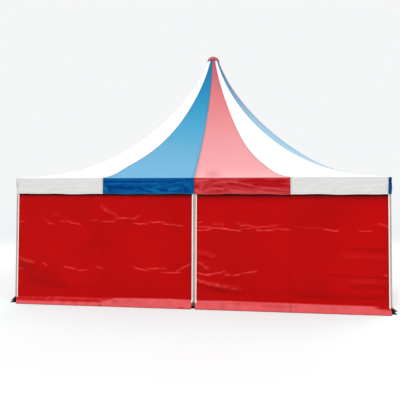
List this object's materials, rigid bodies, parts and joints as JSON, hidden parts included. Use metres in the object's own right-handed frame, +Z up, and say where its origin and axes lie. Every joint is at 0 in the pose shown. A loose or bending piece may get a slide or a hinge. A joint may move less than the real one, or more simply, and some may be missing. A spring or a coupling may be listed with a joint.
{
  "type": "pagoda tent",
  "caption": "Square pagoda tent with a high peaked roof in white, blue and red gores, a hanging valance and red walls that close every side.",
  "frame": {"origin": "on the ground at the centre of the tent", "axes": "+X to the right seen from the front, +Y to the back, +Z up"},
  "size_m": [6.21, 6.21, 5.25],
  "materials": {
    "pvc_white": "white PVC-coated polyester, satin, faint weave",
    "pvc_blue": "mid blue PVC-coated polyester, satin, light shows through",
    "pvc_red": "red PVC-coated polyester, satin, pink where light shows through",
    "pvc_wall_red": "deep red PVC-coated polyester wall, satin, fold creases",
    "pvc_cap_red": "crimson PVC-coated cap, satin",
    "aluminium": "mill-finish extruded aluminium",
    "black_steel": "black painted steel plate",
    "galvanised_steel": "galvanised steel, dull grey"
  },
  "bodies": {
    "root": {"roof_front_1": "pvc_white", "roof_front_2": "pvc_blue", "roof_front_3": "pvc_red", "roof_front_4": "pvc_white", "roof_right_1": "pvc_blue", "roof_right_2": "pvc_red", "roof_right_3": "pvc_white", "roof_right_4": "pvc_blue", "roof_back_1": "pvc_red", "roof_back_2": "pvc_white", "roof_back_3": "pvc_blue", "roof_back_4": "pvc_red", "roof_left_1": "pvc_white", "roof_left_2": "pvc_blue", "roof_left_3": "pvc_red", "roof_left_4": "pvc_white", "wall_front_1": "pvc_wall_red", "wall_front_2": "pvc_wall_red", "wall_right_1": "pvc_wall_red", "wall_right_2": "pvc_wall_red", "wall_back_1": "pvc_wall_red", "wall_back_2": "pvc_wall_red", "wall_left_1": "pvc_wall_red", "wall_left_2": "pvc_wall_red", "post_front": "aluminium", "post_right": "aluminium", "post_back": "aluminium", "post_left": "aluminium", "post_corner_1": "aluminium", "post_corner_2": "aluminium", "post_corner_3": "aluminium", "post_corner_4": "aluminium", "foot_front": "black_steel", "foot_right": "black_steel", "foot_back": "black_steel", "foot_left": "black_steel", "foot_corner_1": "black_steel", "foot_corner_2": "black_steel", "foot_corner_3": "black_steel", "foot_corner_4": "black_steel", "eave_beam_front": "aluminium", "eave_beam_right": "aluminium", "eave_beam_back": "aluminium", "eave_beam_left": "aluminium", "stay_1": "galvanised_steel", "stay_2": "galvanised_steel", "mast": "galvanised_steel", "apex_cap": "pvc_cap_red"}
  },
  "joints": []
}
